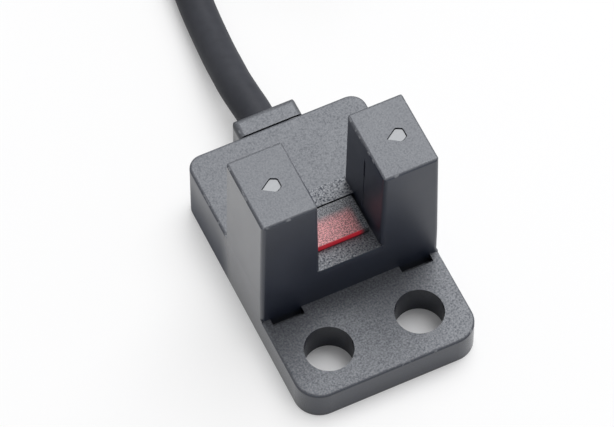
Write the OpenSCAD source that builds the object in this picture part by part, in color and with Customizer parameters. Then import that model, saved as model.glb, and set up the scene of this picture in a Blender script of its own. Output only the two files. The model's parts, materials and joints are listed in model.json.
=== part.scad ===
// Slotted optical switch: a moulded fork on a mounting plate, with a short cable bushing at its rear.
// Millimetres. Origin: midway between the mounting holes, on the mounting surface.
// X runs across the slot, +Y towards the cable, +Z up.

/* [Mounting plate] */
// Width of the case across the slot
case_w = 13.1; // [12.6:0.1:16]
// Thickness of the mounting plate
plate_t = 2.5; // [1.8:0.1:3.2]
// Distance from the mounting holes to the front edge
hole_to_front = 3.2; // [2.6:0.1:6]
// Distance from the mounting holes to the fork's front face
hole_to_fork = 3.75; // [3:0.05:8]
// Distance between the two mounting holes
hole_pitch = 6.7; // [5:0.1:8]
// Diameter of each mounting hole
hole_d = 3.4; // [2.4:0.1:4]
// Radius of the plate's front corners
front_corner_r = 1.8; // [0.6:0.1:2.4]

/* [Fork] */
// Depth of the legs from front to back
fork_d = 5.7; // [5.2:0.1:8]
// Height of the leg tops over the mounting surface
fork_h = 14.2; // [12.5:0.1:20]
// Width of the slot at its mouth
slot_w = 4.75; // [4.4:0.05:5.4]
// Height of the ledge at the front of the slot's floor
ledge_h = 6.1; // [5.6:0.1:7.5]
// Depth of that ledge, front to back
ledge_d = 1.45; // [1.25:0.05:1.8]
// Draft of the fork's outer walls and slot walls, in degrees
draft = 1; // [0.3:0.1:1.5]
// Radius of the moulded edges
edge_r = 0.2; // [0.1:0.05:0.4]
// Width of the pocket at the foot of each leg
pocket_w = 2.3; // [1:0.1:2.6]
// Length of that pocket, measured forwards from the leg
pocket_l = 0.6; // [0.3:0.05:1]
// Depth of that pocket into the plate
pocket_depth = 0.9; // [0.3:0.1:1.4]

/* [Rear housing] */
// Length of the housing behind the fork
housing_l = 6.6; // [6:0.1:12]
// Height of the housing's flat top
housing_h = 5.15; // [5:0.05:5.5]
// Radius of the housing's rear corners
rear_corner_r = 1.1; // [1.1:0.1:2.2]

/* [Shell] */
// Thickness of the outer walls
wall = 0.9; // [0.7:0.05:1]
// Thickness of the housing's roof and of the slot's floor
roof_t = 0.9; // [0.6:0.05:1.1]
// Thickness of the bottom cover
cover_t = 0.8; // [0.6:0.05:0.9]
// Width of the case's rim around the bottom cover
cover_lip = 0.5; // [0.3:0.05:0.6]
// Gap around pieces that are set into the case
fit_gap = 0.05; // [0.02:0.01:0.08]

/* [Optics] */
// Distance from the leg tops down to the optical axis
axis_drop = 2.6; // [2.5:0.1:4]
// Width of the light slit in each slot wall
slit_w = 0.2; // [0.15:0.05:1]
// Height of the light slit
slit_h = 1.8; // [0.6:0.1:2.6]
// Height by which the indicator lens stands over the ledge
lens_step = 0.5; // [0.2:0.05:0.9]
// Depth of the indicator lens, front to back
lens_d = 2.75; // [2.3:0.05:2.9]
// Gap between the indicator lens and the slot walls
lens_side_gap = 0.2; // [0.1:0.05:0.5]
// Length of the axis mark on each leg top
mark_l = 1.2; // [0.6:0.05:1.6]
// Width of the axis mark
mark_w = 1.04; // [0.5:0.02:1.4]
// Depth of the axis mark's recess
mark_depth = 0.2; // [0.1:0.05:0.4]

/* [Circuit] */
// Thickness of the circuit board
board_t = 0.8; // [0.5:0.1:1]
// Gap between the circuit board and the walls
board_gap = 0.2; // [0.1:0.05:0.4]
// Height of the cover's ribs under the board
rib_h = 0.6; // [0.5:0.05:0.7]
// Diameter of the component leads
lead_d = 0.45; // [0.3:0.05:0.6]

/* [Cable] */
// Diameter of the cable
cable_d = 2.55; // [2:0.05:2.6]
// Height of the cable's axis where it leaves the case
cable_z = 2.6; // [2.5:0.05:2.7]
// Width of the bushing block
bushing_w = 4.7; // [4:0.1:6]
// Length of the bushing block behind the case
bushing_l = 1.6; // [1:0.1:4]
// Diameter of one insulated core
core_d = 0.75; // [0.5:0.05:0.8]
// Mean radius of the coil in which the rest of the cable is stored
coil_r = 14.4; // [13:0.1:24]

/* [Hidden] */
$fn = 48;
// How far a cut runs past the face it opens
past = 1;
// How far two pieces of one solid run into each other
joined = 0.2;

// Case
fork_y0 = hole_to_fork;
fork_y1 = fork_y0 + fork_d;
case_y1 = fork_y1 + housing_l;
case_half = case_w / 2;
top_half = case_half - (fork_h - housing_h) * tan(draft);
slot_half = slot_w / 2;
floor_half = slot_half - (fork_h - ledge_h) * tan(draft);
leg_mid = (slot_half + top_half) / 2;
pocket_shift = 0.4;
pocket_x = leg_mid + pocket_shift;
upright_r = 1.5 * edge_r;
edge_foot = 0.05;

// Cavity
cavity_half = case_half - wall;
cavity_y0 = fork_y0 + wall;
cavity_y1 = case_y1 - wall;
fork_cavity_y1 = fork_y1 - wall;
housing_roof_z = housing_h - roof_t;
floor_under_z = ledge_h - roof_t;
leg_in = slot_half + wall;
leg_out = top_half - wall;
leg_roof_z = fork_h - wall;

// Optics
axis_y = fork_y0 + fork_d / 2;
axis_z = fork_h - axis_drop;
groove_w = 0.1;
groove_above = 0.4;
lens_half = floor_half - lens_side_gap;
lens_top_z = ledge_h + lens_step;
lens_y0 = fork_y0 + ledge_d;
lens_y1 = lens_y0 + lens_d;
lens_seam = 0.12;
lens_flange = 0.3;
lens_flange_t = 0.5;
stem_half = 1.1;
stem_l = 1.8;
stem_set_back = 0.2;
mark_fill = 0.6 * mark_depth;
mark_rim = 0.07;
mark_round = 0.18;
mark_shift = 0.3;
mark_x = [-leg_mid, leg_mid + mark_shift];

// Circuit board and what stands in the legs
board_z0 = cover_t + rib_h;
board_z1 = board_z0 + board_t;
board_half = cavity_half - board_gap;
board_y0 = cavity_y0 + board_gap;
rib_w = 0.6;
rib_x = 3;
rib_inset = 0.4;
element_w = 3;
element_h = 3;
element_back_gap = 0.25;
dome_out = 0.2;
element_t = leg_out - leg_in - fit_gap - dome_out - element_back_gap;
dome_r = 0.45 * (element_t + dome_out);
element_x = leg_in + fit_gap + dome_out + element_t / 2;
lead_tail = 0.35;
lead_hole_gap = 0.1;
lead_hole_d = lead_d + 2 * lead_hole_gap;
emitter_lead_pitch = 1.5;
receiver_lead_pitch = 1;
emitter_lead_y = [-emitter_lead_pitch / 2, emitter_lead_pitch / 2];
receiver_lead_y = [-receiver_lead_pitch, 0, receiver_lead_pitch];
solder_r = 0.5;
solder_h = 0.28;
solder_gap = 0.01;
solder_tip = 0.08;
led_size = [1.6, 0.8, 0.6];
led_y = lens_y0 + stem_set_back + stem_l / 2;
led_air = 0.2;

// Bushing
bushing_seam = 0.12;
bushing_y0 = case_y1 + bushing_seam;
bushing_y1 = case_y1 + bushing_l;
bushing_z0 = 0.25;
bushing_below = 0.15;
bushing_z1 = housing_h - bushing_below;
bushing_r = 0.45;
bore_gap = 0.03;
neck_wall = 0.5;
neck_w = cable_d + 2 * neck_wall;
flange_t = 0.6;
flange_y0 = cavity_y1 - fit_gap - flange_t;
jacket_inside = 0.3;
jacket_y = flange_y0 - jacket_inside;
core_room = 1.5;
board_y1 = jacket_y - core_room;

// Chips, placed from the board's rear edge
chip_size = [3, 2.2, 0.9];
chip_set_back = 4.2;
chip_y = board_y1 - chip_set_back;
chip_pin_pitch = 0.65;
side_x = 3.9;
transistor_size = [1.3, 2.6, 0.9];
transistor_set_back = 2.9;
transistor_y = board_y1 - transistor_set_back;
transistor_pin_y = 0.9;
resistor_size = [1.6, 0.8, 0.45];
resistor_set_back = 3.9;
resistor_pitch = 1.2;
resistor_y = [for (i = [0:2]) board_y1 - resistor_set_back + resistor_pitch * i];
capacitor_size = [1.6, 0.8, 0.8];
capacitor_x = 2.4;
capacitor_ahead = 1.9;
capacitor_set_back = 0.8;
capacitor_at = [[capacitor_x, chip_y - capacitor_ahead], [side_x, board_y1 - capacitor_set_back]];
pin_w = 0.35;
pin_t = 0.15;
pin_l = 0.45;

// Cores inside the case: each leaves the jacket in a square bundle and ends beside the next on the board
core_gap = 0.05;
core_bundle = core_d / 2 + core_gap;
core_pitch = 1.2;
core_end_set_back = 1.4;
core_end_y = board_y1 - core_end_set_back;
core_seat = 0.02;
core_z = board_z1 + core_d / 2 + core_seat;
core_straight = 0.35;
core_fan = 1.15;
core_lift = 0.275;
core_rest = [0.3, 0.9];
core_corner = [[-1, 1], [-1, -1], [1, -1], [1, 1]];
core_reach = [[0.6, 0.9], [0.25, 0.7], [0.25, 0.7], [0.6, 0.9]];
strand_d = 0.35;
joint_r = 0.45;
joint_l = 0.5;

// Cable, from points chosen by hand: y is measured from the bushing's rear face
cable_sides = 8;
tie_t = 0.5;
surface_z = cable_d / 2;
turn_gap = 0.05;
turn_pitch = cable_d + turn_gap;
coil_z0 = tie_t;
entry_z = coil_z0 + turn_pitch / 2;
cable_route = [
    [0, jacket_y - bushing_y1, cable_z], [0, -1, cable_z], [0, 1.2, cable_z],
    [-0.1, 2.8, 2.52], [-0.13, 4.2, 2.33], [-0.06, 5.6, 2.07], [0.03, 7, 1.78], [0.16, 8.5, 1.54],
    [0.3, 10, surface_z + 0.07], [0.44, 11.5, surface_z], [0.68, 13.5, surface_z], [0.96, 15.5, surface_z],
    [1.24, 17.5, surface_z], [1.48, 19.5, surface_z + 0.05], [1.66, 21.5, surface_z + 0.25],
    [1.76, 23.5, entry_z - 0.1], [1.8, 25.5, entry_z], [1.8, 28, entry_z], [1.8, 31, entry_z],
    [1.8, 34.5, entry_z]
];
cable_path = [for (p = cable_route) p + [0, bushing_y1, 0]];

// Coil: three turns side by side in three full layers, two turns on top and the cable's end beside them
full_layers = 3;
entry = cable_path[len(cable_path) - 1];
coil_outer_r = coil_r + turn_pitch;
coil_centre = [entry.x + coil_outer_r, entry.y, 0];
coil_r0 = coil_r - 1.5 * turn_pitch;
coil_r1 = coil_r + 1.5 * turn_pitch;
top_layer_r1 = coil_r + 0.5 * turn_pitch;
full_z = coil_z0 + full_layers * turn_pitch;
coil_z1 = full_z + turn_pitch;
entry_reach = 14;
entry_gap = 0.05;
tie_gap = 0.05;
tie_span = 12;
tie_angles = [75, 255];
tail_gap = 0.02;
tail_z = full_z + cable_d / 2 + tail_gap;
tail_a0 = 204;
tail_a1 = -36;
tail_core_l = [24, 22.5, 23, 21.5];
tip_l = 5;
tip_d = 0.45;
arc_step = 6;

// Angle that a length of arc spans on the coil's outer turn
function arc_angle(l) = l / coil_outer_r * 180 / PI;
function coil_point(r, a, z) = coil_centre + [r * cos(a), r * sin(a), z];
// How far a piece has settled at the part t of its run: the first half, with an easy start and end
function settled(t) = let (u = min(1, max(0, 2 * t))) u * u * (3 - 2 * u);
// An arc on the coil that settles from height z0 to height z1, with one point past each end
function coil_arc(r, a0, a1, z0, z1) = let (n = max(2, ceil(abs(a1 - a0) / arc_step)))
    [for (i = [-1:n + 1]) coil_point(r, a0 + (a1 - a0) * i / n, z0 + (z1 - z0) * settled(i / n))];

function unit(v) = v / norm(v);
function heading(path, i) = unit(path[min(i + 1, len(path) - 1)] - path[max(i - 1, 0)]);
// One ring of a tube, square to the path at point i
function tube_ring(path, i, r, n) =
    let (t = heading(path, i), s = unit(cross(t, [0, 0, 1])), u = cross(s, t))
    [for (k = [0:n - 1]) let (a = 360 * (k + 0.5) / n) path[i] + r * (cos(a) * s + sin(a) * u)];
function tube_wall(m, n) = [for (i = [0:m - 2], k = [0:n - 1])
    let (a = i * n + k, b = i * n + (k + 1) % n) each [[a, b, b + n], [a, b + n, a + n]]];

// A round tube swept along a path, leaving out the given number of points at each end
module tube(path, d, spare = 0) {
    n = cable_sides;
    m = len(path) - 2 * spare;
    polyhedron(
        points = [for (i = [0:m - 1]) each tube_ring(path, i + spare, d / 2, n)],
        faces = concat(
            [[for (k = [n - 1:-1:0]) k]],
            tube_wall(m, n),
            [[for (k = [0:n - 1]) (m - 1) * n + k]]
        )
    );
}

// A box centred in x, from y0 to y1 and z0 to z1
module slab(w, y0, y1, z0, z1) {
    translate([-w / 2, y0, z0])
        cube([w, y1 - y0, z1 - z0]);
}

// A box on the board, centred on a point of the plan
module on_board(at, size) {
    translate([at.x - size.x / 2, at.y - size.y / 2, board_z1])
        cube(size);
}

// A rectangle with four round corners, centred
module round_rect(w, h, r) {
    square([w - 2 * r, h], center = true);
    square([w, h - 2 * r], center = true);
    for (sx = [-1, 1], sy = [-1, 1])
        translate([sx * (w / 2 - r), sy * (h / 2 - r)])
            circle(r);
}

// A plan centred in x whose two far corners are round
module set_in_plan(half, y0, y1, r) {
    translate([-half, y0])
        square([2 * half, y1 - y0 - r]);
    translate([-half + r, y0])
        square([2 * (half - r), y1 - y0]);
    for (s = [-1, 1])
        translate([s * (half - r), y1 - r])
            circle(r);
}

// A section with round top corners, standing on its base line
module domed_section(w, h, r) {
    translate([-w / 2, 0])
        square([w, h - r]);
    translate([-w / 2 + r, 0])
        square([w - 2 * r, h]);
    for (s = [-1, 1])
        translate([s * (w / 2 - r), h - r])
            circle(r);
}

// A bar from y = 0 along +Y: its far end has round corners, and its top edges are rounded all round
module round_bar(w, l, h, corner_r, top_r) {
    translate([0, l - corner_r, 0])
        rotate([90, 0, 0])
            linear_extrude(l - corner_r)
                domed_section(w, h, top_r);
    intersection() {
        translate([-w / 2 + corner_r, 0, 0])
            rotate([90, 0, 90])
                linear_extrude(w - 2 * corner_r)
                    domed_section(2 * l, h, top_r);
        slab(w, 0, l + past, 0, h);
    }
    for (s = [-1, 1])
        translate([s * (w / 2 - corner_r), l - corner_r, 0])
            rotate_extrude()
                intersection() {
                    domed_section(2 * corner_r, h, top_r);
                    square([corner_r, h]);
                }
}

// Where a fillet of radius r sits in the corner at b between the directions u and v
function fillet_half(u, v) = acos(u * v) / 2;
function fillet_centre(b, u, v, r) = b + unit(u + v) * r / sin(fillet_half(u, v));
function fillet_run(u, v, r) = r / tan(fillet_half(u, v));

// The child outline with the listed corners, each [point, direction, direction], rounded
module soft_corners(corners, r) {
    difference() {
        children();
        for (c = corners) {
            run = fillet_run(c[1], c[2], r);
            outside = c[0] - r * unit(c[1] + c[2]);
            polygon([fillet_centre(c[0], c[1], c[2], r), c[0] + run * c[1], outside, c[0] + run * c[2]]);
        }
    }
    for (c = corners)
        translate(fillet_centre(c[0], c[1], c[2], r))
            circle(r);
}

// Section of the fork across the slot: walls drafted over the housing's height, round edges on the leg tops
module fork_section() {
    outer_top = [for (s = [-1, 1]) [[s * top_half, fork_h], [-s, 0], [s * sin(draft), -cos(draft)]]];
    slot_top = [for (s = [-1, 1]) [[s * slot_half, fork_h], [s, 0], [-s * sin(draft), -cos(draft)]]];
    soft_corners(concat(outer_top, slot_top), edge_r)
        polygon([
            [-case_half, 0], [case_half, 0], [case_half, housing_h], [top_half, fork_h],
            [slot_half, fork_h], [floor_half, ledge_h], [-floor_half, ledge_h], [-slot_half, fork_h],
            [-top_half, fork_h], [-case_half, housing_h]
        ]);
}

// What is cut from an upright edge to leave it round: the solid lies towards +x * sx and +y * sy
module edge_cut(sx, sy, l) {
    r = upright_r;
    translate([0, 0, -l])
        linear_extrude(l + past)
            difference() {
                polygon([
                    [-sx * past, -sy * past], [sx * r, -sy * past],
                    [sx * r, sy * r], [-sx * past, sy * r]
                ]);
                translate([sx * r, sy * r])
                    circle(r);
            }
}

// Cuts for the four upright edges of the leg on side s, which follow the draft, and straight on below it
module leg_edge_cuts(s) {
    ends = [[fork_y0, 1, housing_h - edge_foot, ledge_h], [fork_y1, -1, housing_h + edge_foot, lens_top_z]];
    for (e = ends) {
        translate([s * top_half, e[0], fork_h])
            rotate([0, -s * draft, 0])
                edge_cut(-s, e[1], fork_h - e[2]);
        translate([s * slot_half, e[0], fork_h])
            rotate([0, s * draft, 0])
                edge_cut(s, e[1], fork_h - e[3] - edge_foot);
    }
    translate([s * case_half, fork_y0, housing_h])
        edge_cut(-s, 1, housing_h - plate_t - edge_foot);
}

// The fork, standing on the mounting surface, with the bridge behind the indicator lens
module fork() {
    intersection() {
        difference() {
            translate([0, fork_y1, 0])
                rotate([90, 0, 0])
                    linear_extrude(fork_d)
                        fork_section();
            for (s = [-1, 1])
                leg_edge_cuts(s);
        }
        translate([-case_half - past, axis_y, 0])
            rotate([90, 0, 90])
                linear_extrude(case_w + 2 * past)
                    domed_section(fork_d, fork_h, edge_r);
    }
    slab(slot_w, lens_y1 + lens_seam, fork_y1, ledge_h - joined, lens_top_z);
}

// The closed outer form of the case
module case_body() {
    translate([0, fork_y0 + past, 0])
        mirror([0, 1, 0])
            round_bar(case_w, hole_to_front + hole_to_fork + past, plate_t, front_corner_r, edge_r);
    fork();
    translate([0, fork_y1 - past, 0])
        round_bar(case_w, housing_l + past, housing_h, rear_corner_r, edge_r);
}

// The hollow for the circuit, open at the bottom and running up into both legs
module cavity() {
    translate([0, 0, -past])
        linear_extrude(housing_roof_z + past)
            set_in_plan(cavity_half, cavity_y0, cavity_y1, rear_corner_r - wall);
    slab(2 * cavity_half, cavity_y0, fork_cavity_y1, -past, floor_under_z);
    for (s = [-1, 1])
        translate([s * (leg_in + leg_out) / 2, 0, 0])
            slab(leg_out - leg_in, cavity_y0, fork_cavity_y1, 0, leg_roof_z);
    translate([0, 0, -past])
        linear_extrude(cover_t + past)
            set_in_plan(case_half - cover_lip, fork_y0 + cover_lip, case_y1 - cover_lip,
                rear_corner_r - cover_lip);
}

// The rear wall's notch for the bushing's neck, grown by a gap
module neck_form(gap, y0, y1, z0) {
    slab(neck_w + 2 * gap, y0, y1, z0, cable_z);
    translate([0, y1, cable_z])
        rotate([90, 0, 0])
            cylinder(d = neck_w + 2 * gap, h = y1 - y0);
}

// Light slit through one slot wall, with the shallow groove that marks it down the wall
module slit_cut(s) {
    translate([s * (floor_half + leg_in) / 2, 0, 0])
        slab(leg_in - floor_half + joined, axis_y - slit_w / 2, axis_y + slit_w / 2,
            axis_z - slit_h / 2, axis_z + slit_h / 2);
    translate([s * slot_half / 2, 0, 0])
        slab(slot_half, axis_y - groove_w / 2, axis_y + groove_w / 2,
            lens_top_z + groove_above, axis_z + slit_h / 2 + groove_above);
}

// Corners of the axis mark, from its tip round its blunt back
function mark_corners(l, w) = [
    [-0.57 * l, 0], [0.08 * l, -w / 2], [0.43 * l, -0.29 * w], [0.43 * l, 0.29 * w], [0.08 * l, w / 2]
];

// Outline of the axis mark, grown by a rim: a pointer whose back is rounded
module mark_outline(rim = 0) {
    points = mark_corners(mark_l + 2 * rim, mark_w + 2 * rim);
    n = len(points);
    back = [for (i = [1:n - 1]) let (p = points[i])
        [p, unit(points[i - 1] - p), unit(points[(i + 1) % n] - p)]];
    soft_corners(back, mark_round * mark_w)
        polygon(points);
}

module case() {
    color("#2a2c30")
        difference() {
            case_body();
            cavity();
            slab(2 * (lens_half + fit_gap), lens_y0 - fit_gap, lens_y1 + lens_seam,
                floor_under_z - past, ledge_h + past);
            neck_form(fit_gap, cavity_y1 - joined, case_y1 + past, -past);
            for (s = [-1, 1]) {
                slit_cut(s);
                translate([s * hole_pitch / 2, 0, -past])
                    cylinder(d = hole_d, h = plate_t + 2 * past);
                translate([s * pocket_x, 0, 0])
                    slab(pocket_w, fork_y0 - pocket_l, fork_y0, plate_t - pocket_depth, plate_t + past);
            }
            for (x = mark_x)
                translate([x, axis_y, fork_h - mark_depth])
                    linear_extrude(mark_depth + past)
                        mark_outline(mark_rim);
        }
}

module bottom_cover() {
    rim = cover_lip + fit_gap;
    color("#1f2023") {
        linear_extrude(cover_t)
            set_in_plan(case_half - rim, fork_y0 + rim, case_y1 - rim, rear_corner_r - cover_lip);
        slab(neck_w, case_y1 - rim - joined, case_y1, 0, cover_t);
        for (s = [-1, 1])
            translate([s * rib_x, 0, 0])
                slab(rib_w, board_y0 + rib_inset, board_y1 - rib_inset, cover_t - joined, board_z0);
    }
}

module indicator_lens() {
    flange_z = floor_under_z - lens_flange_t;
    color("#b3243a") {
        slab(2 * lens_half, lens_y0, lens_y1, flange_z, lens_top_z);
        slab(2 * (lens_half + lens_flange), lens_y0 - lens_flange, lens_y1 + lens_flange,
            flange_z, floor_under_z);
        slab(2 * stem_half, lens_y0 + stem_set_back, lens_y0 + stem_set_back + stem_l,
            board_z1 + led_size.z + led_air, flange_z + joined);
    }
}

module axis_marks() {
    color("#c3c4c8")
        for (x = mark_x)
            translate([x, axis_y, fork_h - mark_depth])
                linear_extrude(mark_fill)
                    mark_outline();
}

// Places of the leads: the emitter's on the left, the receiver's on the right
lead_places = concat(
    [for (y = emitter_lead_y) [-element_x, axis_y + y]],
    [for (y = receiver_lead_y) [element_x, axis_y + y]]
);

module circuit_board() {
    color("#1f6b3a")
        difference() {
            slab(2 * board_half, board_y0, board_y1, board_z0, board_z1);
            for (p = lead_places)
                translate([p.x, p.y, board_z0 - past])
                    cylinder(d = lead_hole_d, h = board_t + 2 * past);
        }
}

// A side-looking package in the leg on side s, with its lens against the slot wall
module element(s) {
    translate([s * element_x, axis_y, axis_z]) {
        cube([element_t, element_w, element_h], center = true);
        translate([-s * (element_t / 2 + dome_out - dome_r), 0, 0])
            sphere(dome_r);
    }
}

module leads(s, places) {
    z0 = board_z0 - lead_tail;
    for (y = places)
        translate([s * element_x, axis_y + y, z0])
            cylinder(d = lead_d, h = axis_z - element_h / 2 - z0);
}

module emitter() {
    color("#5d6f96")
        element(-1);
}

module emitter_leads() {
    color("#c9c9c6")
        leads(-1, emitter_lead_y);
}

module receiver() {
    color("#15151a")
        element(1);
}

module receiver_leads() {
    color("#c9c9c6")
        leads(1, receiver_lead_y);
}

module solder_joints() {
    bore_r = lead_d / 2 + solder_gap;
    color("#d8d8d2")
        for (p = lead_places)
            translate([p.x, p.y, board_z0])
                rotate_extrude()
                    polygon([
                        [bore_r, 0], [solder_r, 0],
                        [bore_r + solder_tip, -solder_h], [bore_r, -solder_h]
                    ]);
}

module indicator_led() {
    color("#f1efe4")
        on_board([0, led_y], led_size);
}

module control_chip() {
    color("#1c1c1e")
        on_board([0, chip_y], chip_size);
}

module control_chip_pins() {
    color("#c9c9c6")
        for (s = [-1, 1], i = [-1:1])
            on_board([s * (chip_size.x + pin_l) / 2, chip_y + chip_pin_pitch * i], [pin_l, pin_w, pin_t]);
}

module output_transistor() {
    color("#1c1c1e")
        on_board([side_x, transistor_y], transistor_size);
}

module output_transistor_pins() {
    reach = (transistor_size.x + pin_l) / 2;
    color("#c9c9c6")
        for (p = [[-reach, 0], [reach, -transistor_pin_y], [reach, transistor_pin_y]])
            on_board([side_x, transistor_y] + p, [pin_l, pin_w, pin_t]);
}

module chip_resistors() {
    color("#2b2b30")
        for (y = resistor_y)
            on_board([-side_x, y], resistor_size);
}

module chip_capacitors() {
    color("#b08a5c")
        for (p = capacitor_at)
            on_board(p, capacitor_size);
}

function core_x(i) = (i - 1.5) * core_pitch;
// Path of core i from the end of the jacket to its place on the board
function core_path(i) =
    let (
        x0 = core_corner[i].x * core_bundle,
        z0 = cable_z + core_corner[i].y * core_bundle,
        x1 = core_x(i),
        reach = core_reach[i]
    )
    [
        [x0, jacket_y, z0],
        [x0, jacket_y - core_straight, z0],
        [x0 + reach[0] * (x1 - x0), jacket_y - core_fan, core_corner[i].y > 0 ? z0 + core_lift : core_z],
        [x0 + reach[1] * (x1 - x0), board_y1 - core_rest[0], core_z],
        [x1, board_y1 - core_rest[1], core_z],
        [x1, core_end_y, core_z]
    ];

module core(i) {
    tube(core_path(i), core_d);
}

module core_brown() {
    color("#6b3f22")
        core(0);
}

module core_black() {
    color("#17171a")
        core(1);
}

module core_blue() {
    color("#2a56b5")
        core(2);
}

module core_pink() {
    color("#d98ba0")
        core(3);
}

// The stripped end of each core, set in a drop of solder on its pad
module wire_joints() {
    color("#d8d8d2")
        for (i = [0:3])
            translate([core_x(i), core_end_y - joint_l, board_z1]) {
                intersection() {
                    sphere(joint_r);
                    slab(2 * joint_r, -joint_r, joint_r, 0, joint_r);
                }
                translate([0, 0, core_z - board_z1])
                    rotate([-90, 0, 0])
                        cylinder(d = strand_d, h = joint_l);
            }
}

// The bushing block behind the case, rounded on all its edges but those at the case
module bushing_block() {
    l = bushing_y1 - bushing_y0;
    h = bushing_z1 - bushing_z0;
    translate([0, (bushing_y0 + bushing_y1) / 2, (bushing_z0 + bushing_z1) / 2])
        intersection() {
            rotate([90, 0, 0])
                linear_extrude(l, center = true)
                    round_rect(bushing_w, h, bushing_r);
            translate([0, -bushing_r / 2, 0])
                linear_extrude(h + past, center = true)
                    round_rect(bushing_w, l + bushing_r, bushing_r);
            translate([0, -bushing_r / 2, 0])
                rotate([90, 0, 90])
                    linear_extrude(bushing_w + past, center = true)
                        round_rect(l + bushing_r, h, bushing_r);
        }
}

module cable_bushing() {
    color("#2c2e32")
        difference() {
            union() {
                bushing_block();
                neck_form(0, flange_y0 + flange_t - joined / 2, bushing_y0 + joined, cover_t + fit_gap);
                slab(bushing_w, flange_y0, flange_y0 + flange_t, cover_t + fit_gap, housing_roof_z - fit_gap);
            }
            translate([0, bushing_y1 + past, cable_z])
                rotate([90, 0, 0])
                    cylinder(d = cable_d + 2 * bore_gap, h = bushing_y1 - flange_y0 + 2 * past);
        }
}

module cable() {
    color("#2e3136")
        tube(cable_path, cable_d);
}

module cable_coil() {
    color("#2e3136")
        difference() {
            translate(coil_centre)
                rotate_extrude($fn = 96)
                    polygon([
                        [coil_r0, coil_z0], [coil_r1, coil_z0], [coil_r1, full_z],
                        [top_layer_r1, full_z], [top_layer_r1, coil_z1], [coil_r0, coil_z1]
                    ]);
            translate(entry)
                rotate([90, 0, 0])
                    cylinder(d = cable_d + 2 * entry_gap, h = entry_reach);
        }
}

// Two flat ties that close round the whole coil and carry it on the surface
module coil_ties() {
    r0 = coil_r0 - tie_gap;
    r1 = coil_r1 + tie_gap;
    color("#3a3d42")
        translate(coil_centre)
            for (a = tie_angles)
                rotate([0, 0, a - tie_span / 2])
                    rotate_extrude(angle = tie_span, $fn = 96)
                        difference() {
                            translate([r0 - tie_t, 0])
                                square([r1 - r0 + 2 * tie_t, coil_z1 + tie_gap + tie_t]);
                            translate([r0, coil_z0])
                                square([r1 - r0, coil_z1 + tie_gap - coil_z0]);
                        }
}

module cable_tail() {
    color("#2e3136")
        tube(coil_arc(coil_outer_r, tail_a0, tail_a1, tail_z, tail_z), cable_d, 1);
}

function tail_r(i) = coil_outer_r + core_corner[i].x * core_bundle;
function tail_rest_z(i) = full_z + tail_gap + core_d / 2 + (core_corner[i].y > 0 ? 2 * core_bundle : 0);
function tail_end(i) = tail_a1 - arc_angle(tail_core_l[i]);

// One insulated core at the cable's free end, lying on the coil
module tail(i) {
    z0 = tail_z + core_corner[i].y * core_bundle;
    tube(coil_arc(tail_r(i), tail_a1 - arc_angle(tail_gap), tail_end(i), z0, tail_rest_z(i)), core_d, 1);
}

module tail_brown() {
    color("#6b3f22")
        tail(0);
}

module tail_black() {
    color("#17171a")
        tail(1);
}

module tail_blue() {
    color("#2a56b5")
        tail(2);
}

module tail_pink() {
    color("#d98ba0")
        tail(3);
}

// The tinned ends of the four free cores
module tinned_tips() {
    color("#d8d8d2")
        for (i = [0:3]) {
            a = tail_end(i) - arc_angle(tail_gap);
            z = tail_rest_z(i);
            tube(coil_arc(tail_r(i), a, a - arc_angle(tip_l), z, z), tip_d, 1);
        }
}

case();
bottom_cover();
indicator_lens();
axis_marks();
circuit_board();
emitter();
emitter_leads();
receiver();
receiver_leads();
solder_joints();
indicator_led();
control_chip();
control_chip_pins();
output_transistor();
output_transistor_pins();
chip_resistors();
chip_capacitors();
core_brown();
core_black();
core_blue();
core_pink();
wire_joints();
cable_bushing();
cable();
cable_coil();
coil_ties();
cable_tail();
tail_brown();
tail_black();
tail_blue();
tail_pink();
tinned_tips();
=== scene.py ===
"""Slotted optical switch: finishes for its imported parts, its cable, and a plain stage."""

import json
import math

import bmesh
import bpy
from bpy.props import FloatProperty, FloatVectorProperty, PointerProperty
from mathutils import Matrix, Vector


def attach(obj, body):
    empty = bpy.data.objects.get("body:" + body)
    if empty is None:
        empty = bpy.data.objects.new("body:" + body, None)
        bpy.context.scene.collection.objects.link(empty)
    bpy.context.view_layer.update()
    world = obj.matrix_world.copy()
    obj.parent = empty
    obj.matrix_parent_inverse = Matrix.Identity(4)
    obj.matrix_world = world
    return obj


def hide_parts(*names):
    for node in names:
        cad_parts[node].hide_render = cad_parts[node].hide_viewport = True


bl_info = {
    "name": "Slotted Optical Switch",
    "version": (1, 0, 0),
    "blender": (4, 5, 0),
    "location": "View3D > Sidebar > Optical Switch",
    "description": "Dresses the parts of a slotted optical switch, lays its cable, sets its stage",
    "category": "Object",
}

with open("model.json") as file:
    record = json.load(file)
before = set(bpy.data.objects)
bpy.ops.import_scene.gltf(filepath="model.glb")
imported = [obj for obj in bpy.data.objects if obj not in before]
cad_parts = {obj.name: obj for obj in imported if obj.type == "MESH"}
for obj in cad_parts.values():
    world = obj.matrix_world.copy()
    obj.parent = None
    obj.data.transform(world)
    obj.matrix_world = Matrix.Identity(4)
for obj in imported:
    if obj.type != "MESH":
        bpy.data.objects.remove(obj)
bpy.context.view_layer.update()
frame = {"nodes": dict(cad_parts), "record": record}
BODY = "root"
MM = 0.001
SLOT_OF = {part["node"]: part["material_slot"] for part in frame["record"]["subparts"]}

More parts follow.
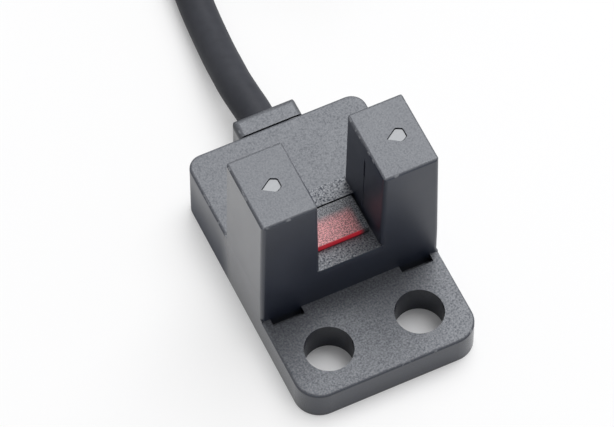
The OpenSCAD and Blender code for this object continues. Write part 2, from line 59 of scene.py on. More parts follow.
# Cable route in metres: out of the bushing, down to the surface and up to the coil's lowest turn
CABLE_ROUTE = (
    (0, 0.0142, 0.0026), (0, 0.01665, 0.0026), (0, 0.01885, 0.0026),
    (-0.0001, 0.02045, 0.00252), (-0.00013, 0.02185, 0.00233), (-0.00006, 0.02325, 0.00207),
    (0.00003, 0.02465, 0.00178), (0.00016, 0.02615, 0.00154), (0.0003, 0.02765, 0.001345),
    (0.00044, 0.02915, 0.001275), (0.00068, 0.03115, 0.001275), (0.00096, 0.03315, 0.001275),
    (0.00124, 0.03515, 0.001275), (0.00148, 0.03715, 0.001325), (0.00166, 0.03915, 0.001525),
    (0.00176, 0.04115, 0.0017), (0.0018, 0.04315, 0.0018), (0.0018, 0.04565, 0.0018),
    (0.0018, 0.04865, 0.0018),
)

# Coil, in metres and degrees: rings are counted from the outer one, layers from the lowest one
COIL_CENTRE = (0.0188, 0.05215)
COIL_RING_R = (0.017, 0.0144, 0.0118)
COIL_LAYER_Z = (0.0018, 0.0044, 0.007, 0.009595)
COIL_START = 180
COIL_STEP = 15
COIL_SHIFT = 88
# Degrees of winding at which the cable leaves the place before, and the ring and layer it moves to
COIL_MOVES = (
    (270, 1, 0), (630, 2, 0), (915, 2, 1), (1240, 1, 1), (1600, 0, 1), (1885, 0, 2),
    (2210, 1, 2), (2570, 2, 2), (2855, 2, 3), (3180, 1, 3), (3540, 0, 3),
)
COIL_TURNED = 3816

# Free cores at the cable's end: side of the jacket's centre (outwards, up) and length
CORE_BUNDLE = 0.000425
CORE_REST_Z = 0.008695
FREE_CORES = {
    "brown": (-1, 1, 0.024),
    "black": (-1, -1, 0.0225),
    "blue": (1, -1, 0.023),
    "pink": (1, 1, 0.0215),
}
CORE_STEPS = 18
# Tinned end of a core: length, steps, length of a twist, and strands round the middle one
TIP_L = 0.005
TIP_STEPS = 24
TIP_LAY = 0.0022
STRANDS = 6

# Smoothness of the curves: steps from point to point, and how round their sections are
CURVE_STEPS = 5
JACKET_ROUND = 6
CORE_ROUND = 4
STRAND_ROUND = 2

# Camera, from the photograph's viewing angle
EYE = (-0.073016, -0.143540, 0.280505)
LOOK = (0.22354, 0.47161, -0.85301)
SENSOR_W = 36
CLIP_START = 0.01

# Middle of the soft lamp, behind the switch and to its right
LAMP_AT = (0.235, 0.19, 0.515)
# Growth of the light from all round towards +x and towards +y
FILL_EAST = 0.8
FILL_NORTH = 0.6

# Floor: a wide disc just under the switch, which keeps its shadow where little open air is over it
FLOOR_R = 3.0
FLOOR_SIDES = 96
FLOOR_DROP = 0.00002
OPEN_AIR = (0.1, 0.9)
OPEN_AIR_REACH = 0.004
OPEN_AIR_SAMPLES = 8

WHITE = (1.0, 1.0, 1.0, 1.0)
BLACK = (0.0, 0.0, 0.0, 1.0)
MATT = {"Roughness": 1.0, "Specular IOR Level": 0.0}
# Sockets of a Mix node that mixes colours
MIX_SHARE, MIX_FIRST, MIX_SECOND, MIX_RESULT = 0, 6, 7, 2

# A pair says where a change starts and where it ends. These go by a face's normal.
LEVEL = (0.55, 0.95)
SIDEWAYS_SQUARED = (0.3, 0.8)
EDGE_BELOW = (0.1, 0.3)
EDGE_ABOVE = (0.8, 0.95)

# Places on the case, in millimetres
RIM_Y = (2.0, 4.0)
RIM_Z = (2.4, 2.6)
OVER_PLATE_Z = (2.6, 3.0)
SLOT_X_SQUARED = (5.6, 5.9)
SLOT_FLOOR_Z = (5.6, 5.9)
OVER_SLOT_Z = (7.0, 7.4)
HOUSING_Y = (8.5, 10.5)
HOUSING_Z = (0.5, 4.8)
HOLE_X = 3.35
HOLE_R = 1.7
HOLE_SQUARED = (HOLE_R ** 2, HOLE_R ** 2 + 0.3)

# Moulded plastic: colour of a pale speck, partly grain and partly painted glint, and the cool tint
# and strength of the sheen
SPECK_GLINT = (0.22, 0.228, 0.247, 1.0)
SHEEN = (0.92, 0.95, 1.0, 1.0)
PLASTIC_IOR = 1.62
# Grain: its noise, the range of dark and of pale grains, and their share of the colour; the pale
# grains are painted glints as well as grain
GRAIN_NOISE = {"detail": 2.0, "rough": 0.6}
DARK_GRAIN = (0.34, 0.47)
PALE_GRAIN = (0.46, 0.7)
DARK_SHARE = 0.7
PALE_SHARE = 0.65
# Amount of grain on the plate, and what is added on the housing, in the slot and on the leg tops
PLATE_GRAIN = 0.7
HOUSING_GRAIN = -0.3
SLOT_GRAIN = 1.15
LEG_GRAIN = -1.3
# Share of the grain's depth on faces that do not look up
WALL_GRAIN = 0.25
# Pale spots on rounded top edges: waves in a millimetre, range of the noise, share of the colour
EDGE_SPOT_WAVES = 1.5
EDGE_SPOT_RANGE = (0.62, 0.7)
EDGE_SPOT_SHARE = 0.8
# Less roughness on the sides and the plate's rim
SIDE_GLOSS = 0.22
RIM_GLOSS = 0.18
# More roughness in dark grains, on the slot's walls, and on the housing's walls, less so higher up
GRAIN_DULL = 0.3
SLOT_DULL = 0.2
HOUSING_DULL = 0.4
HOUSING_CLEAR = 0.25
# Share of plain matt in the mounting holes
HOLE_MATT = 0.3

# Indicator lens: dark and pale grains of its frost, painted pink where the LED lights it from
# below, and the light that its front face passes on
LENS_DARK = (0.24, 0.085, 0.095, 1.0)
LENS_PALE = (0.9, 0.39, 0.405, 1.0)
LENS_GLOW = (0.2, 0.002, 0.008, 1.0)
# Its frost's grain, against the case's, and the range of pale grains
FROST_FINER = 1.5
FROST_GRAIN = (0.4, 0.58)
# Ends and middle of the patch where the LED's glow is painted, in millimetres
GLOW_LEFT_X = (-1.95, -1.75)
GLOW_RIGHT_X = (1.2, 1.8)
GLOW_MIDDLE_Y = (6.0, 7.0)
GLOW_REAR_Y = (6.8, 7.7)
GLOW_REAR_UNEVEN = 0.5
GLOW_FOOT_Z = (6.05, 6.15)
# Roughness of its clear and of its frosted faces; its front face brightened as painted glow, and
# its rear faces darkened as painted shade
CLEAR_ROUGH = 0.28
FROST_ROUGH = 0.5
FRONT_GLOW = 2.4
REAR_SHADOW = 0.3

# Tracks on the circuit board: their waves, the range that is raised, share and shade of the colour
TRACK_WAVES_X = 4.2
TRACK_WAVES_Y = 1.3
TRACK = (0.35, 0.5)
TRACK_SHARE = 0.5
TRACK_SHADE = 1.6

# Ribs across the ties, as waves in a radian round the coil's centre
TIE_RIBS = 260


class FinishSettings(bpy.types.PropertyGroup):
    """Colours and grain of the switch's surfaces"""

    case_colour: FloatVectorProperty(
        name="Case", description="Colour of the walls of the case and its bottom cover",
        subtype="COLOR", size=3, min=0, max=1, default=(0.0105, 0.0145, 0.028))
    # Faces that look up are lighter than the walls: partly their grain, partly painted sheen
    grain_and_sheen_colour: FloatVectorProperty(
        name="Grained faces", description="Colour of the grained faces, which look up",
        subtype="COLOR", size=3, min=0, max=1, default=(0.076, 0.08, 0.091))
    lens_colour: FloatVectorProperty(
        name="Lens", description="Colour of the indicator lens",
        subtype="COLOR", size=3, min=0, max=1, default=(0.255, 0.024, 0.032))
    mark_colour: FloatVectorProperty(
        name="Axis marks", description="Colour of the filled marks on the leg tops",
        subtype="COLOR", size=3, min=0, max=1, default=(0.385, 0.397, 0.415))
    bushing_colour: FloatVectorProperty(
        name="Bushing", description="Colour of the cable bushing",
        subtype="COLOR", size=3, min=0, max=1, default=(0.015, 0.017, 0.022))
    jacket_colour: FloatVectorProperty(
        name="Jacket", description="Colour of the cable's jacket",
        subtype="COLOR", size=3, min=0, max=1, default=(0.044, 0.046, 0.054))
    tie_colour: FloatVectorProperty(
        name="Ties", description="Colour of the coil's ties",
        subtype="COLOR", size=3, min=0, max=1, default=(0.05, 0.052, 0.058))
    grain: FloatProperty(
        name="Grain", description="Width of one grain of the moulded texture",
        default=0.00013, min=0.00002, max=0.001, unit="LENGTH")
    grain_depth: FloatProperty(
        name="Grain depth", description="Depth of the moulded texture",
        default=0.000012, min=0, max=0.0001, unit="LENGTH")


class CableSettings(bpy.types.PropertyGroup):
    """Sizes of the cable and its cores"""

    length: FloatProperty(
        name="Length", description="Length of the cable from the bushing to its free end",
        default=1.0, min=0.9, max=1.1, unit="LENGTH")
    diameter: FloatProperty(
        name="Cable", description="Diameter of the cable's jacket",
        default=0.00255, min=0.002, max=0.0026, unit="LENGTH")
    core_d: FloatProperty(
        name="Core", description="Diameter of one insulated core",
        default=0.00075, min=0.0005, max=0.0008, unit="LENGTH")
    strand_d: FloatProperty(
        name="Strand", description="Diameter of one tinned strand",
        default=0.00015, min=0.0001, max=0.0002, unit="LENGTH")


class StageSettings(bpy.types.PropertyGroup):
    """Camera, light and floor"""

    lens: FloatProperty(
        name="Focal length", description="Focal length of the camera",
        default=282.5, min=50, max=600, unit="CAMERA")
    lamp_w: FloatProperty(
        name="Lamp width", description="Width of the soft lamp",
        default=0.43, min=0.1, max=2, unit="LENGTH")
    lamp_power: FloatProperty(
        name="Lamp power", description="Power of the lamp",
        default=3.5, min=0, max=100, unit="POWER")
    fill: FloatProperty(
        name="Fill", description="Level of the light from all round",
        default=0.4, min=0, max=1, subtype="FACTOR")
    floor_colour: FloatVectorProperty(
        name="Floor", description="Colour of the floor",
        subtype="COLOR", size=3, min=0, max=1, default=(0.86, 0.86, 0.87))
    floor_lift: FloatProperty(
        name="Floor lift", description="Share of plain white in the floor that the camera sees",
        default=0.74, min=0, max=1, subtype="FACTOR")


class Value:
    """A number that varies over a surface: arithmetic on it adds Math nodes"""

    def __init__(self, nodes, socket):
        self.nodes = nodes
        self.socket = socket

    def _math(self, operation, *terms):
        sockets = dict(enumerate(terms))
        made = self.nodes.add("ShaderNodeMath", {"operation": operation}, sockets)
        return Value(self.nodes, made.outputs[0])

    def __add__(self, other):
        return self._math("ADD", self, other)

    def __radd__(self, other):
        return self._math("ADD", other, self)

    def __sub__(self, other):
        return self._math("SUBTRACT", self, other)

    def __rsub__(self, other):
        return self._math("SUBTRACT", other, self)

    def __mul__(self, other):
        return self._math("MULTIPLY", self, other)

    def __rmul__(self, other):
        return self._math("MULTIPLY", other, self)

    def most(self, other):
        return self._math("MAXIMUM", self, other)

    def turned(self, other):
        return self._math("ARCTAN2", self, other)

    def root(self):
        return self._math("SQRT", self)

    def sine(self):
        return self._math("SINE", self)


class Nodes:
    """A node tree in the making"""

    def __init__(self, tree):
        self.tree = tree
        self.tree.nodes.clear()

    def add(self, kind, settings=None, sockets=None):
        """Adds a node, sets its settings, then sets or links its sockets"""
        made = self.tree.nodes.new(kind)
        for name, setting in (settings or {}).items():
            setattr(made, name, setting)
        for name, given in (sockets or {}).items():
            socket = made.inputs[name]
            given = given.socket if isinstance(given, Value) else given
            if isinstance(given, bpy.types.NodeSocket):
                self.tree.links.new(given, socket)
            else:
                socket.default_value = given
        return made

    def place(self):
        """The point on the surface, in millimetres"""
        at = self.add("ShaderNodeTexCoord").outputs["Object"]
        scaled = self.add(
            "ShaderNodeVectorMath", {"operation": "SCALE"}, {"Vector": at, "Scale": 1 / MM})
        return scaled.outputs["Vector"]

    def split(self, vector):
        """The three parts of a vector, as values"""
        made = self.add("ShaderNodeSeparateXYZ", None, {"Vector": vector})
        return [Value(self, socket) for socket in made.outputs]

    def noise(self, place, waves, detail=2.0, rough=0.5):
        """Soft noise, with so many waves in a millimetre"""
        made = self.add(
            "ShaderNodeTexNoise", None,
            {"Vector": place, "Scale": waves, "Detail": detail, "Roughness": rough})
        return Value(self, made.outputs[0])

    def ramp(self, value, low, high):
        """0 below low and 1 above high, with an easy run between them"""
        made = self.add(
            "ShaderNodeMapRange", {"interpolation_type": "SMOOTHSTEP", "clamp": True},
            {"Value": value, "From Min": low, "From Max": high})
        return Value(self, made.outputs[0])

    def mix(self, share, first, second):
        """A colour between two others"""
        made = self.add(
            "ShaderNodeMix", {"data_type": "RGBA", "clamp_factor": True},
            {MIX_SHARE: share, MIX_FIRST: first, MIX_SECOND: second})
        return made.outputs[MIX_RESULT]

    def clouded(self, cloud, colour, low, high):
        """A colour that clouds make darker and lighter"""
        return self.mix(cloud, shade(colour, low), shade(colour, high))

    def facing(self):
        """How far a face looks up, looks sideways, is a rounded top edge, and stands upright"""
        x, _, z = self.split(self.add("ShaderNodeNewGeometry").outputs["Normal"])
        up = self.ramp(z, *LEVEL)
        edge = self.ramp(z, *EDGE_BELOW) * (1 - self.ramp(z, *EDGE_ABOVE))
        upright = 1 - up - self.ramp(z * -1, *LEVEL)
        return up, self.ramp(x * x, *SIDEWAYS_SQUARED), edge, upright

    def surface(self, colour, roughness, height, depth, matt=None, **others):
        """The material's surface, with a bump so many metres deep and a share of plain matt"""
        bump = self.add(
            "ShaderNodeBump", None, {"Strength": 1.0, "Distance": depth, "Height": height})
        sockets = {"Base Color": colour, "Roughness": roughness, "Normal": bump.outputs["Normal"]}
        sockets.update({name.replace("_", " "): given for name, given in others.items()})
        shader = self.add("ShaderNodeBsdfPrincipled", None, sockets)
        if matt is not None:
            plain = self.add("ShaderNodeBsdfPrincipled", None, {"Base Color": colour, **MATT})
            shader = self.mix_shader(matt, shader, plain)
        self.output(shader)

    def mix_shader(self, share, first, second):
        """A shader between those of two nodes"""
        return self.add(
            "ShaderNodeMixShader", None, {0: share, 1: first.outputs[0], 2: second.outputs[0]})

    def output(self, shader):
        """Gives a node's shader to the material"""
        self.add("ShaderNodeOutputMaterial", None, {"Surface": shader.outputs[0]})


def shade(colour, factor):
    """A colour made darker or lighter, as a shader takes it"""
    return (*(min(1.0, part * factor) for part in colour), 1.0)


def new_material(name):
    """An empty material and its node tree"""
    material = bpy.data.materials.new(name)
    material.use_nodes = True
    return material, Nodes(material.node_tree)


def uneven(level, cloud, swing):
    """A level that clouds move up and down"""
    return level + (cloud - 0.5) * swing


def moulded(name, colour, settings, top_rough=0.45, side_rough=0.42):
    """Spark-eroded plastic: grained where it looks up, most in the slot, and lighter there partly
    as painted sheen, with painted glints; satin on its walls
    """
    material, nodes = new_material(name)
    place = nodes.place()
    x, y, z = nodes.split(place)
    up, aside, edge, upright = nodes.facing()
    grain = nodes.noise(place, MM / settings.grain, **GRAIN_NOISE)
    cloud = nodes.noise(place, waves=0.45, detail=3.0)

    coarse = (
        PLATE_GRAIN + HOUSING_GRAIN * nodes.ramp(z, *OVER_PLATE_Z)
        + SLOT_GRAIN * nodes.ramp(z, *SLOT_FLOOR_Z) + LEG_GRAIN * nodes.ramp(z, *OVER_SLOT_Z))
    patchy = 0.5 + 0.8 * cloud
    # Pale grains: painted glints on the grain
    pale = nodes.ramp(grain, *PALE_GRAIN) * coarse * patchy
    dark = (1 - nodes.ramp(grain, *DARK_GRAIN)) * coarse
    satin = nodes.clouded(cloud, colour, low=0.8, high=1.25)
    # The colour that faces looking up take: grain, lightened partly as painted sheen
    grained = nodes.clouded(cloud, settings.grain_and_sheen_colour, low=0.85, high=1.15)
    grained = nodes.mix(pale * PALE_SHARE, nodes.mix(dark * DARK_SHARE, grained, satin), SPECK_GLINT)
    # Pale spots in the speck colour on rounded top edges
    pale_edge_spots = edge * nodes.ramp(nodes.noise(place, EDGE_SPOT_WAVES, detail=1.0), *EDGE_SPOT_RANGE)
    colour_here = nodes.mix(pale_edge_spots * EDGE_SPOT_SHARE, nodes.mix(up, satin, grained), SPECK_GLINT)

    in_slot = (1 - nodes.ramp(x * x, *SLOT_X_SQUARED)) * nodes.ramp(z, *SLOT_FLOOR_Z) * upright
    housing_dull = HOUSING_DULL - HOUSING_CLEAR * nodes.ramp(z, *HOUSING_Z)
    on_housing = nodes.ramp(y, *HOUSING_Y) * housing_dull * upright
    rim = (1 - nodes.ramp(z, *RIM_Z)) * (1 - nodes.ramp(y, *RIM_Y)) * upright * (1 - aside)
    roughness = side_rough + (top_rough - side_rough) * up - SIDE_GLOSS * aside - RIM_GLOSS * rim
    roughness = uneven(roughness, cloud, swing=0.12)
    roughness = roughness + dark * up * GRAIN_DULL + in_slot * SLOT_DULL + on_housing

    height = grain * (WALL_GRAIN + (1 - WALL_GRAIN) * up)
    from_hole = (x * x).root() - HOLE_X
    in_hole = (1 - nodes.ramp(from_hole * from_hole + y * y, *HOLE_SQUARED)) * upright
    nodes.surface(
        colour_here, roughness, height, settings.grain_depth, matt=in_hole * HOLE_MATT,
        Specular_Tint=SHEEN, IOR=PLASTIC_IOR)
    return material


def frosted_lens(name, colour, settings):
    """Red lens: painted pink glow of the LED on its frosted top, the case's dark colour behind and
    beside it, painted glow on its red front face and painted shade on its rear faces
    """
    material, nodes = new_material(name)
    place = nodes.place()
    x, y, z = nodes.split(place)
    up = nodes.facing()[0]
    waves = MM / settings.grain
    grain = nodes.noise(place, waves, **GRAIN_NOISE)
    cloud = nodes.noise(place, waves=0.9)
    # The patch where the LED's glow is painted on the frost
    sides = nodes.ramp(x, *GLOW_LEFT_X) * (1 - nodes.ramp(x, *GLOW_RIGHT_X))
    rear_end = nodes.ramp(y + cloud * GLOW_REAR_UNEVEN, *GLOW_REAR_Y)
    glow_patch = sides * (1 - rear_end * up)
    pale = nodes.ramp(nodes.noise(place, FROST_FINER * waves, **GRAIN_NOISE), *FROST_GRAIN)
    # The frost's grains, painted pink as lit by the LED from below
    frost = nodes.mix(pale, LENS_DARK, LENS_PALE)
    behind = nodes.ramp(y, *GLOW_MIDDLE_Y)
    # Painted glow on the front faces, painted shade on the rear faces
    front = nodes.mix(behind, shade(colour, FRONT_GLOW), shade(settings.case_colour, REAR_SHADOW))
    dull = nodes.mix(pale, shade(settings.case_colour, 1.0), SPECK_GLINT)
    glass = nodes.mix(up, front, frost)
    lit = nodes.ramp(z, *GLOW_FOOT_Z) * glow_patch * (1 - up) * (1 - behind)
    nodes.surface(
        nodes.mix(glow_patch, dull, glass), CLEAR_ROUGH + (FROST_ROUGH - CLEAR_ROUGH) * up,
        grain * up, settings.grain_depth,
        Emission_Color=nodes.mix(lit, BLACK, LENS_GLOW), Emission_Strength=1.0)
    return material


def paint_fill(name, colour, settings):
    """Matt light paint in the axis marks, a little uneven"""
    material, nodes = new_material(name)
    place = nodes.place()
    cloud = nodes.noise(place, waves=2.2, detail=3.0)
    grain = nodes.noise(place, MM / settings.grain)
    nodes.surface(
        nodes.clouded(cloud, colour, low=0.88, high=1.1), uneven(0.6, cloud, swing=0.1),
        grain, depth=settings.grain_depth * 0.5)
    return material


def rubbery(name, colour, rough, gloss=0.5):
    """Soft plastic with a faint waviness, for the jacket, the cores and the parts on the board"""
    material, nodes = new_material(name)
    place = nodes.place()
    cloud = nodes.noise(place, waves=1.5, detail=3.0)
    fine = nodes.noise(place, waves=9.0)
    nodes.surface(
        nodes.clouded(cloud, colour, low=0.82, high=1.2), uneven(rough, cloud, swing=0.12),
        0.6 * fine + 0.4 * cloud, depth=0.000004, Specular_IOR_Level=gloss)
    return material


def tinned(name, colour, rough=0.28):
    """Tinned metal or solder with faint cloudy dullness"""
    material, nodes = new_material(name)
    place = nodes.place()
    cloud = nodes.noise(place, waves=2.5, detail=3.0)
    fine = nodes.noise(place, waves=14.0)
    nodes.surface(
        nodes.clouded(cloud, colour, low=0.82, high=1.05), uneven(rough, cloud, swing=0.2),
        fine, depth=0.000003, Metallic=1.0)
    return material


def solder_mask(name, colour):
    """Green circuit board lacquer with faintly raised tracks"""
    material, nodes = new_material(name)
    place = nodes.place()
    x, y, _ = nodes.split(place)
    waves = (x * TRACK_WAVES_X).sine() * (y * TRACK_WAVES_Y).sine()
    tracks = nodes.ramp(waves, *TRACK)
    cloud = nodes.noise(place, waves=1.2, detail=3.0)
    ground = nodes.clouded(cloud, colour, low=0.85, high=1.15)
    nodes.surface(
        nodes.mix(tracks * TRACK_SHARE, ground, shade(colour, TRACK_SHADE)),
        uneven(0.35, cloud, swing=0.1),
        tracks, depth=0.00001)
    return material


def epoxy(name, colour):
    """Cast epoxy, glossy with faint flow lines"""
    material, nodes = new_material(name)
    cloud = nodes.noise(nodes.place(), waves=0.8, detail=4.0, rough=0.6)
    nodes.surface(
        nodes.clouded(cloud, colour, low=0.8, high=1.2), uneven(0.16, cloud, swing=0.1),
        cloud, depth=0.000004)
    return material


def ribbed_tie(name, colour):
    """Nylon tie with fine ribs across its length"""
    material, nodes = new_material(name)
    place = nodes.place()
    x, y, _ = nodes.split(place)
    east = x - COIL_CENTRE[0] / MM
    north = y - COIL_CENTRE[1] / MM
    ribs = (north.turned(east) * TIE_RIBS).sine() * 0.5 + 0.5
    cloud = nodes.noise(place, waves=0.9, detail=3.0)
    nodes.surface(
        nodes.clouded(cloud, colour, low=0.8, high=1.2), uneven(0.45, cloud, swing=0.1),
        ribs, depth=0.00002)
    return material


def finish_of(slot, finish):
    """The material of one of the record's slots, made when it is first asked for"""
    name = "finish_" + slot
    known = bpy.data.materials.get(name)
    if known:
        return known
    written = next(m["base_color"] for m in frame["record"]["materials"] if m["slot"] == slot)
    makers = {
        "case_plastic": lambda: moulded(name, finish.case_colour, finish),
        "cover_plastic": lambda: moulded(
            name, finish.case_colour, finish, top_rough=0.55, side_rough=0.5),
        "lens_red": lambda: frosted_lens(name, finish.lens_colour, finish),
        "mark_grey": lambda: paint_fill(name, finish.mark_colour, finish),
        "bushing_black": lambda: moulded(
            name, finish.bushing_colour, finish, top_rough=0.44, side_rough=0.36),
        "cable_jacket": lambda: rubbery(name, finish.jacket_colour, rough=0.55, gloss=0.1),
        "tie_grey": lambda: ribbed_tie(name, finish.tie_colour),
        "board_green": lambda: solder_mask(name, written),
        "emitter_epoxy": lambda: epoxy(name, written),
        "receiver_epoxy": lambda: epoxy(name, written),
        "led_white": lambda: epoxy(name, written),
        "tinned_metal": lambda: tinned(name, written),
        "solder": lambda: tinned(name, written, rough=0.2),
        "chip_black": lambda: rubbery(name, written, rough=0.55),
        "resistor_black": lambda: rubbery(name, written, rough=0.5),
        "capacitor_tan": lambda: rubbery(name, written, rough=0.5),
    }
    maker = makers.get(slot)
    return maker() if maker else rubbery(name, written, rough=0.36)


def dress(nodes, finish):
    """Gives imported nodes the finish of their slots"""
    for node in nodes:
        data = frame["nodes"][node].data
        data.materials.clear()
        data.materials.append(finish_of(SLOT_OF[node], finish))


def eased(t):
    """A run from 0 to 1 with an easy start and end"""
    return 0.5 - 0.5 * math.cos(math.pi * min(1.0, max(0.0, t)))


def on_coil(radius, angle, height):
    """A point on the coil, from its radius, its angle in degrees and its height"""
    a = math.radians(angle)
    x, y = COIL_CENTRE
    return Vector((x + radius * math.cos(a), y + radius * math.sin(a), height))


def wound(turned):
    """The cable's point after so many degrees of winding"""
    radius, height = COIL_RING_R[0], COIL_LAYER_Z[0]
    for start, ring, layer in COIL_MOVES:
        share = eased((turned - start) / COIL_SHIFT)
        radius += (COIL_RING_R[ring] - radius) * share
        height += (COIL_LAYER_Z[layer] - height) * share
    return on_coil(radius, COIL_START - turned, height)


def curve_piece(name, lines, diameter, slot, finish, roundness=CORE_ROUND):
    """A curve of round section along smooth lines, riding on the switch"""
    curve = bpy.data.curves.new(name, "CURVE")
    curve.dimensions = "3D"
    curve.bevel_depth = diameter / 2
    curve.bevel_resolution = roundness
    curve.resolution_u = CURVE_STEPS
    curve.use_fill_caps = True
    for line in lines:
        spline = curve.splines.new("BEZIER")
        spline.bezier_points.add(len(line) - 1)
        for point, at in zip(spline.bezier_points, line):
            point.co = at
            point.handle_left_type = "AUTO"
            point.handle_right_type = "AUTO"
    curve.materials.append(finish_of(slot, finish))
    piece = bpy.data.objects.new(name, curve)
    bpy.context.scene.collection.objects.link(piece)
    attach(piece, BODY)
    return piece


def core_rest(out, up):
    """The radius and the height at which a free core lies on the coil"""
    return COIL_RING_R[0] + out * CORE_BUNDLE, CORE_REST_Z + max(0, up) * 2 * CORE_BUNDLE


def core_line(out, up, length):
    """The line of one free core, from the jacket's end until it lies on the coil"""
    radius, z1 = core_rest(out, up)
    z0 = COIL_LAYER_Z[-1] + up * CORE_BUNDLE
    start = COIL_START - COIL_TURNED
    span = math.degrees(length / COIL_RING_R[0])
    steps = [i / CORE_STEPS for i in range(CORE_STEPS + 1)]
    return [on_coil(radius, start - span * t, z0 + (z1 - z0) * eased(2 * t)) for t in steps]


def strand_lines(out, up, length, strand_d):
    """The lines of one core's tinned strands: one straight, the others twisted round it"""
    radius, height = core_rest(out, up)
    start = COIL_START - COIL_TURNED - math.degrees(length / COIL_RING_R[0])
    lines = []
    for strand in range(STRANDS + 1):
        away = strand_d if strand < STRANDS else 0.0
        line = []
        for i in range(TIP_STEPS + 1):
            gone = TIP_L * i / TIP_STEPS
            twist = 2 * math.pi * (gone / TIP_LAY + strand / STRANDS)
            angle = start - math.degrees(gone / COIL_RING_R[0])
            across, above = away * math.cos(twist), away * math.sin(twist)
            line.append(on_coil(radius + across, angle, height + above))
        lines.append(line)
    return lines


class OPTICALSWITCH_OT_stage(bpy.types.Operator):
    """Sets the camera, the lamp, the surroundings and the floor"""

    bl_idname = "optical_switch.stage"
    bl_label = "Stage"

    def execute(self, context):
        stage = context.scene.switch_stage
        self.camera(context, stage)
        self.lamp(context, stage)
        self.world(context, stage)
        self.floor(context, stage)
        context.scene.view_settings.view_transform = "Standard"
        return {"FINISHED"}

    def camera(self, context, stage):
        data = bpy.data.cameras.new("camera")
        data.lens = stage.lens
        data.sensor_width = SENSOR_W
        data.clip_start = CLIP_START
        camera = bpy.data.objects.new("camera", data)
        camera.location = EYE
        camera.rotation_euler = Vector(LOOK).to_track_quat("-Z", "Y").to_euler()
        context.scene.collection.objects.link(camera)
        context.scene.camera = camera

    def lamp(self, context, stage):
        data = bpy.data.lights.new("softbox", "AREA")
        data.shape = "SQUARE"
        data.size = stage.lamp_w
        data.energy = stage.lamp_power
        lamp = bpy.data.objects.new("softbox", data)
        lamp.location = LAMP_AT
        lamp.rotation_euler = Vector(LAMP_AT).to_track_quat("Z", "Y").to_euler()
        context.scene.collection.objects.link(lamp)

    def world(self, context, stage):
        world = bpy.data.worlds.new("surroundings")
        world.use_nodes = True
        nodes = Nodes(world.node_tree)
        east, north, _ = nodes.split(nodes.add("ShaderNodeTexCoord").outputs["Generated"])
        around = stage.fill * (1 + FILL_EAST * east + FILL_NORTH * north)
        level = around + (1 - around) * self.seen(nodes)
        back = nodes.add("ShaderNodeBackground", None, {"Color": WHITE, "Strength": level})
        nodes.add("ShaderNodeOutputWorld", None, {"Surface": back.outputs[0]})
        context.scene.world = world

    def floor(self, context, stage):
        mesh = bpy.data.meshes.new("floor")
        build = bmesh.new()
        bmesh.ops.create_circle(build, cap_ends=True, segments=FLOOR_SIDES, radius=FLOOR_R)
        build.to_mesh(mesh)
        build.free()
        floor = bpy.data.objects.new("floor", mesh)
        floor.location.z = -FLOOR_DROP
        context.scene.collection.objects.link(floor)
        material, nodes = new_material("pale_floor")
        cloud = nodes.noise(nodes.place(), waves=0.02, detail=3.0)
        colour = nodes.clouded(cloud, stage.floor_colour, low=0.99, high=1.01)
        matt = nodes.add("ShaderNodeBsdfPrincipled", None, {"Base Color": colour, **MATT})
        white = nodes.add("ShaderNodeEmission", None, {"Color": WHITE, "Strength": 1.0})
        air = nodes.add(
            "ShaderNodeAmbientOcclusion",
            {"samples": OPEN_AIR_SAMPLES}, {"Distance": OPEN_AIR_REACH})
        open_air = nodes.ramp(Value(nodes, air.outputs["AO"]), *OPEN_AIR)
        nodes.output(nodes.mix_shader(stage.floor_lift * self.seen(nodes) * open_air, matt, white))
        mesh.materials.append(material)

    def seen(self, nodes):
        """1 for rays that the camera sees, straight or in a reflection"""
        path = nodes.add("ShaderNodeLightPath").outputs
        rays = ("Is Camera Ray", "Is Glossy Ray", "Is Transmission Ray")
        camera, glossy, through = (Value(nodes, path[name]) for name in rays)
        return camera.most(glossy).most(through)


class OPTICALSWITCH_OT_cable(bpy.types.Operator):
    """Lays the cable from the bushing into its coil, with its free cores and their tinned ends"""

    bl_idname = "optical_switch.cable"
    bl_label = "Cable"

    def execute(self, context):
        finish = context.scene.switch_finish
        cable = context.scene.switch_cable
        turns = [wound(turned) for turned in range(0, COIL_TURNED, COIL_STEP)]
        line = [Vector(p) for p in CABLE_ROUTE] + turns + [wound(COIL_TURNED)]
        jacket = curve_piece(
            "cable_jacket", [line], cable.diameter, "cable_jacket", finish, JACKET_ROUND)
        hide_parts("cable", "cable_coil", "cable_tail")
        strands = []
        for name, (out, up, length) in FREE_CORES.items():
            lines = [core_line(out, up, length)]
            core = curve_piece("free_core_" + name, lines, cable.core_d, "core_" + name, finish)
            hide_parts("tail_" + name)
            strands += strand_lines(out, up, length, cable.strand_d)
        tips = curve_piece(
            "tinned_strands", strands, cable.strand_d, "tinned_metal", finish, STRAND_ROUND)
        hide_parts("tinned_tips")
        dress(["coil_ties"], finish)
        return {"FINISHED"}


class OPTICALSWITCH_OT_case(bpy.types.Operator):
    """Finishes the case, its bottom cover, its axis marks and the cable bushing"""

    bl_idname = "optical_switch.case"
    bl_label = "Case"

    def execute(self, context):
        dress(["case", "bottom_cover", "axis_marks", "cable_bushing"], context.scene.switch_finish)
        return {"FINISHED"}


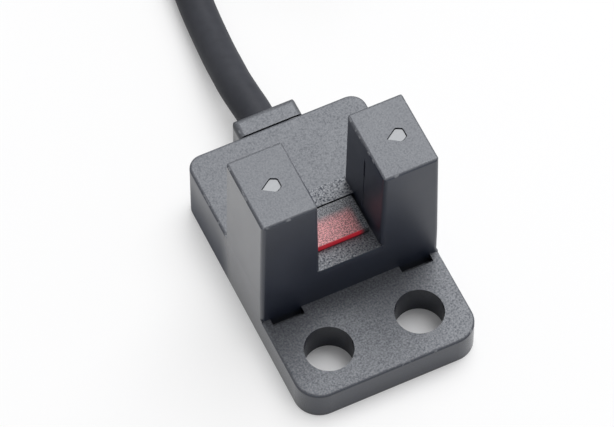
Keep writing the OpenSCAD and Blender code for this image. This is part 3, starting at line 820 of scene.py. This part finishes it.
class OPTICALSWITCH_OT_lens(bpy.types.Operator):
    """Finishes the indicator lens"""

    bl_idname = "optical_switch.lens"
    bl_label = "Indicator lens"

    def execute(self, context):
        dress(["indicator_lens"], context.scene.switch_finish)
        return {"FINISHED"}


class OPTICALSWITCH_OT_circuit(bpy.types.Operator):
    """Finishes the circuit board and everything on it inside the case"""

    bl_idname = "optical_switch.circuit"
    bl_label = "Circuit"

    def execute(self, context):
        dress([
            "circuit_board", "emitter", "emitter_leads", "receiver", "receiver_leads",
            "solder_joints", "indicator_led", "control_chip", "control_chip_pins",
            "output_transistor", "output_transistor_pins", "chip_resistors", "chip_capacitors",
            "core_brown", "core_black", "core_blue", "core_pink", "wire_joints",
        ], context.scene.switch_finish)
        return {"FINISHED"}


STEPS = (
    OPTICALSWITCH_OT_stage, OPTICALSWITCH_OT_cable, OPTICALSWITCH_OT_case,
    OPTICALSWITCH_OT_lens, OPTICALSWITCH_OT_circuit,
)


class OPTICALSWITCH_PT_panel(bpy.types.Panel):
    """Sizes, colours and steps of the optical switch"""

    bl_idname = "OPTICALSWITCH_PT_panel"
    bl_label = "Optical Switch"
    bl_space_type = "VIEW_3D"
    bl_region_type = "UI"
    bl_category = "Optical Switch"

    def draw(self, context):
        scene = context.scene
        for group in (scene.switch_stage, scene.switch_cable, scene.switch_finish):
            column = self.layout.column()
            for name in group.__annotations__:
                column.prop(group, name)
        for step in STEPS:
            self.layout.operator(step.bl_idname)


GROUPS = {
    "switch_finish": FinishSettings,
    "switch_cable": CableSettings,
    "switch_stage": StageSettings,
}
CLASSES = (*GROUPS.values(), *STEPS, OPTICALSWITCH_PT_panel)


def register():
    for made in CLASSES:
        bpy.utils.register_class(made)
    for name, group in GROUPS.items():
        setattr(bpy.types.Scene, name, PointerProperty(type=group))


def unregister():
    for name in GROUPS:
        delattr(bpy.types.Scene, name)
    for made in reversed(CLASSES):
        bpy.utils.unregister_class(made)


def main():
    register()
    bpy.ops.optical_switch.stage()
    bpy.ops.optical_switch.cable()
    bpy.ops.optical_switch.case()
    bpy.ops.optical_switch.lens()
    bpy.ops.optical_switch.circuit()


if __name__ == "__main__":
    main()
